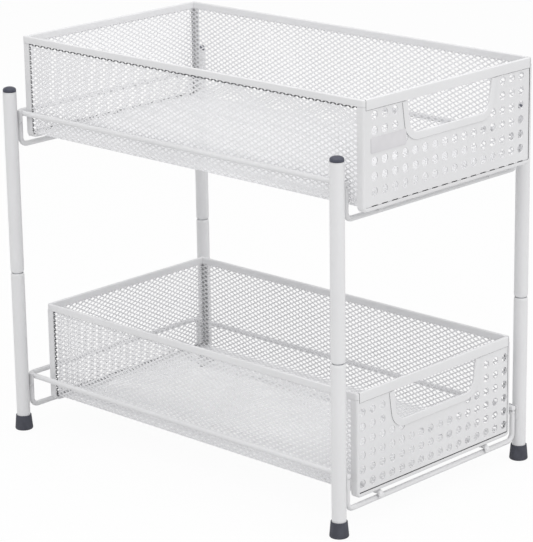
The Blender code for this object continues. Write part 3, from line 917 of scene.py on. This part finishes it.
    verts, faces = expanded_metal(end_y - start_y, total, wrap)
    metal = add_piece(prefix + "expanded_metal", verts.tolist(), faces, LIT_MESH_WHITE, body, "white_mesh",
                      [prefix + "left_mesh", prefix + "right_mesh", prefix + "floor_mesh"], sharp=60.0)
    front_y = rim_low.y + STRIP_SIDE["front"]
    rear_y = rim_high.y - STRIP_SIDE["back"]

    # Outward faces of the walls under the rim and beside the strips get near-black painted shade
    def beside_edges(centers, normals):
        outward = normals[:, 0] * np.sign(centers[:, 0]) > STRAND_FACING
        under = centers[:, 2] > butt_z - RIM_SHELTER[tier]
        ends = (centers[:, 1] < front_y + SHELTER) | (centers[:, 1] > rear_y - SHELTER)
        return outward & (under | ends)

    shade_edges(metal, beside_edges)

    def stand(u, v, w):
        """u runs along the back wall and v up it."""
        return np.stack([u - mesh_half, mesh_back_y - w, back_low + v], axis=1)

    verts, faces = expanded_metal(2 * mesh_half, under_roof - back_low, stand)
    metal = add_piece(prefix + "back_expanded_metal", verts.tolist(), faces, LIT_MESH_WHITE, body, "white_mesh",
                      [prefix + "back_mesh"], sharp=60.0)
    side_x = half - STRIP_FACE

    # Outward faces of the back wall under the rim and beside the side strips get near-black painted shade
    def beside_back_edges(centers, normals):
        under = centers[:, 2] > butt_z - SHELTER
        ends = abs(centers[:, 0]) > side_x - SHELTER
        return (normals[:, 1] > STRAND_FACING) & (under | ends)

    shade_edges(metal, beside_back_edges)

    # Channel around the handle cut-out, its groove over the edge of the panel
    path = handle_outline(panel_high_z, 0.0)
    end_z = rim_high.z - RIM_FRONT_HEIGHT - FINE_GAP
    for end, near in ((0, 1), (-1, -2)):
        share = (path[end][1] - end_z) / (path[end][1] - path[near][1])
        path[end] = (path[end][0] + (path[near][0] - path[end][0]) * share, end_z)
    middle = panel_y + SHEET / 2
    front, back = middle - TRIM_THICKNESS / 2, middle + TRIM_THICKNESS / 2
    slot = SHEET / 2 + GAP / 2
    edge = TRIM_EDGE - TRIM_WIDTH
    groove = TRIM_GROOVE_DEPTH - TRIM_WIDTH
    profile = arc(-TRIM_ROUND, back - TRIM_ROUND, TRIM_ROUND, 90.0, 0.0, 5)
    profile += arc(-TRIM_ROUND, front + TRIM_ROUND, TRIM_ROUND, 0.0, -90.0, 5)
    profile += [(edge, front), (-TRIM_WIDTH, front + TRIM_EDGE), (-TRIM_WIDTH, middle - slot),
                (groove, middle - slot), (groove, middle + slot), (-TRIM_WIDTH, middle + slot),
                (-TRIM_WIDTH, back - TRIM_EDGE), (edge, back)]
    profiles = [profile] * len(path)
    trim = add_piece(prefix + "handle_channel", *swept(path, profiles, upright(0.0)), WHITE, body,
                     "white_coat", [prefix + "handle_trim"])
    # The front half of the channel's outer edge and one wall of its groove get near-black painted shade
    shade_inside(trim, len(path) - 1, len(profile), TRIM_INSIDE, PAINTED_SHADE)


def add_plate():
    """Bare plate on the front of the upper basket."""
    rim_low, rim_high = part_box("upper_basket_rim")
    top = rim_high.z - PLATE_TOP_BELOW_RIM
    low = top - PLATE_HEIGHT
    corners = [(PLATE_LEFT, low), (PLATE_RIGHT, low), (PLATE_RIGHT, top), (PLATE_LEFT, top)]
    outline = rounded_path(corners, PLATE_CORNER, 6, closed=True)
    front = rim_low.y + PANEL_INSET - PLATE_THICKNESS
    obj = add_piece("front_plate", *flat_sheet(outline, [], PLATE_THICKNESS, upright(front)), PLATE,
                    "upper_basket", "white_coat")
    bevel = obj.modifiers.new("edge", "BEVEL")
    bevel.width = PLATE_BEVEL
    bevel.segments = 2


def add_stage():
    """White floor: it bounces light as matt white, and the camera sees it brighter still."""
    mat, tree, shader = node_tree("pale_floor")
    shader.inputs["Base Color"].default_value = (0.75, 0.75, 0.75, 1.0)
    shader.inputs["Roughness"].default_value = 0.9
    shader.inputs["Specular IOR Level"].default_value = 0.0
    glow = tree.nodes.new("ShaderNodeEmission")
    glow.inputs["Strength"].default_value = 1.0
    path = tree.nodes.new("ShaderNodeLightPath")
    seen = tree.nodes.new("ShaderNodeMath")
    seen.operation = "MAXIMUM"
    tree.links.new(path.outputs["Is Camera Ray"], seen.inputs[0])
    tree.links.new(path.outputs["Is Glossy Ray"], seen.inputs[1])
    share = tree.nodes.new("ShaderNodeMath")
    share.operation = "MULTIPLY"
    share.inputs[1].default_value = FLOOR_GLOW
    tree.links.new(seen.outputs[0], share.inputs[0])
    blend = tree.nodes.new("ShaderNodeMixShader")
    tree.links.new(share.outputs[0], blend.inputs[0])
    tree.links.new(shader.outputs[0], blend.inputs[1])
    tree.links.new(glow.outputs[0], blend.inputs[2])
    tree.links.new(blend.outputs[0], tree.nodes["Material Output"].inputs["Surface"])
    far = FLOOR_REACH
    mesh = bpy.data.meshes.new("floor")
    mesh.from_pydata([(-far, -far, 0), (far, -far, 0), (far, far, 0), (-far, far, 0)], [], [(0, 1, 2, 3)])
    mesh.materials.append(mat)
    floor = bpy.data.objects.new("floor", mesh)
    floor.location.z = -FLOOR_DROP
    bpy.context.collection.objects.link(floor)


def add_world():
    world = bpy.data.worlds.new("studio")
    world.use_nodes = True
    bpy.context.scene.world = world
    tree = world.node_tree
    background = tree.nodes["Background"]
    background.inputs["Color"].default_value = (1.0, 1.0, 1.0, 1.0)
    path = tree.nodes.new("ShaderNodeLightPath")
    seen = tree.nodes.new("ShaderNodeMath")
    seen.operation = "MAXIMUM"
    tree.links.new(path.outputs["Is Camera Ray"], seen.inputs[0])
    tree.links.new(path.outputs["Is Transmission Ray"], seen.inputs[1])
    level = tree.nodes.new("ShaderNodeMapRange")
    level.inputs["To Min"].default_value = WORLD_LEVEL
    level.inputs["To Max"].default_value = 1.0
    tree.links.new(seen.outputs[0], level.inputs["Value"])
    tree.links.new(level.outputs["Result"], background.inputs["Strength"])


def add_area_light(name, place, size, power):
    """Square softbox aimed at the middle of the object."""
    light = bpy.data.lights.new(name, "AREA")
    light.shape = "SQUARE"
    light.size = size
    light.energy = power
    obj = bpy.data.objects.new(name, light)
    obj.location = place
    target = (cad_box[0] + cad_box[1]) / 2
    obj.rotation_euler = (target - Vector(place)).to_track_quat("-Z", "Y").to_euler()
    bpy.context.collection.objects.link(obj)


def add_lights():
    add_area_light("key", (0.6, -2.2, 2.4), 1.6, 24.0)
    add_area_light("left_fill", (-1.8, -0.6, 2.2), 1.6, 12.5)
    add_area_light("top", (-0.3, 0.0, 2.6), 1.8, 15.0)


def add_camera():
    """The photograph's viewpoint, from a fit of the legs, wires and baskets."""
    position = Vector((-1.64043, -1.56117, 0.85170))
    yaw, pitch, roll = -0.80969, -0.29137, -0.01481
    focal_in_widths = 2525.83 / 533
    sensor = 36.0
    forward = Vector((-math.sin(yaw) * math.cos(pitch), math.cos(yaw) * math.cos(pitch), math.sin(pitch)))
    level_right = Vector((math.cos(yaw), math.sin(yaw), 0.0))
    level_up = level_right.cross(forward)
    right = level_right * math.cos(roll) + level_up * math.sin(roll)
    up = level_up * math.cos(roll) - level_right * math.sin(roll)
    camera = bpy.data.cameras.new("camera")
    camera.sensor_width = sensor
    camera.sensor_fit = "HORIZONTAL"
    camera.lens = focal_in_widths * sensor
    obj = bpy.data.objects.new("camera", camera)
    turn = Matrix((right, up, -forward)).transposed()
    obj.matrix_world = Matrix.Translation(position) @ turn.to_4x4()
    bpy.context.collection.objects.link(obj)
    bpy.context.scene.camera = obj


add_legs()
for name in TIERS:
    add_cradle(name)
    add_basket(name)
add_plate()
add_stage()
add_world()
add_lights()
add_camera()
bpy.context.scene.view_settings.view_transform = "Standard"
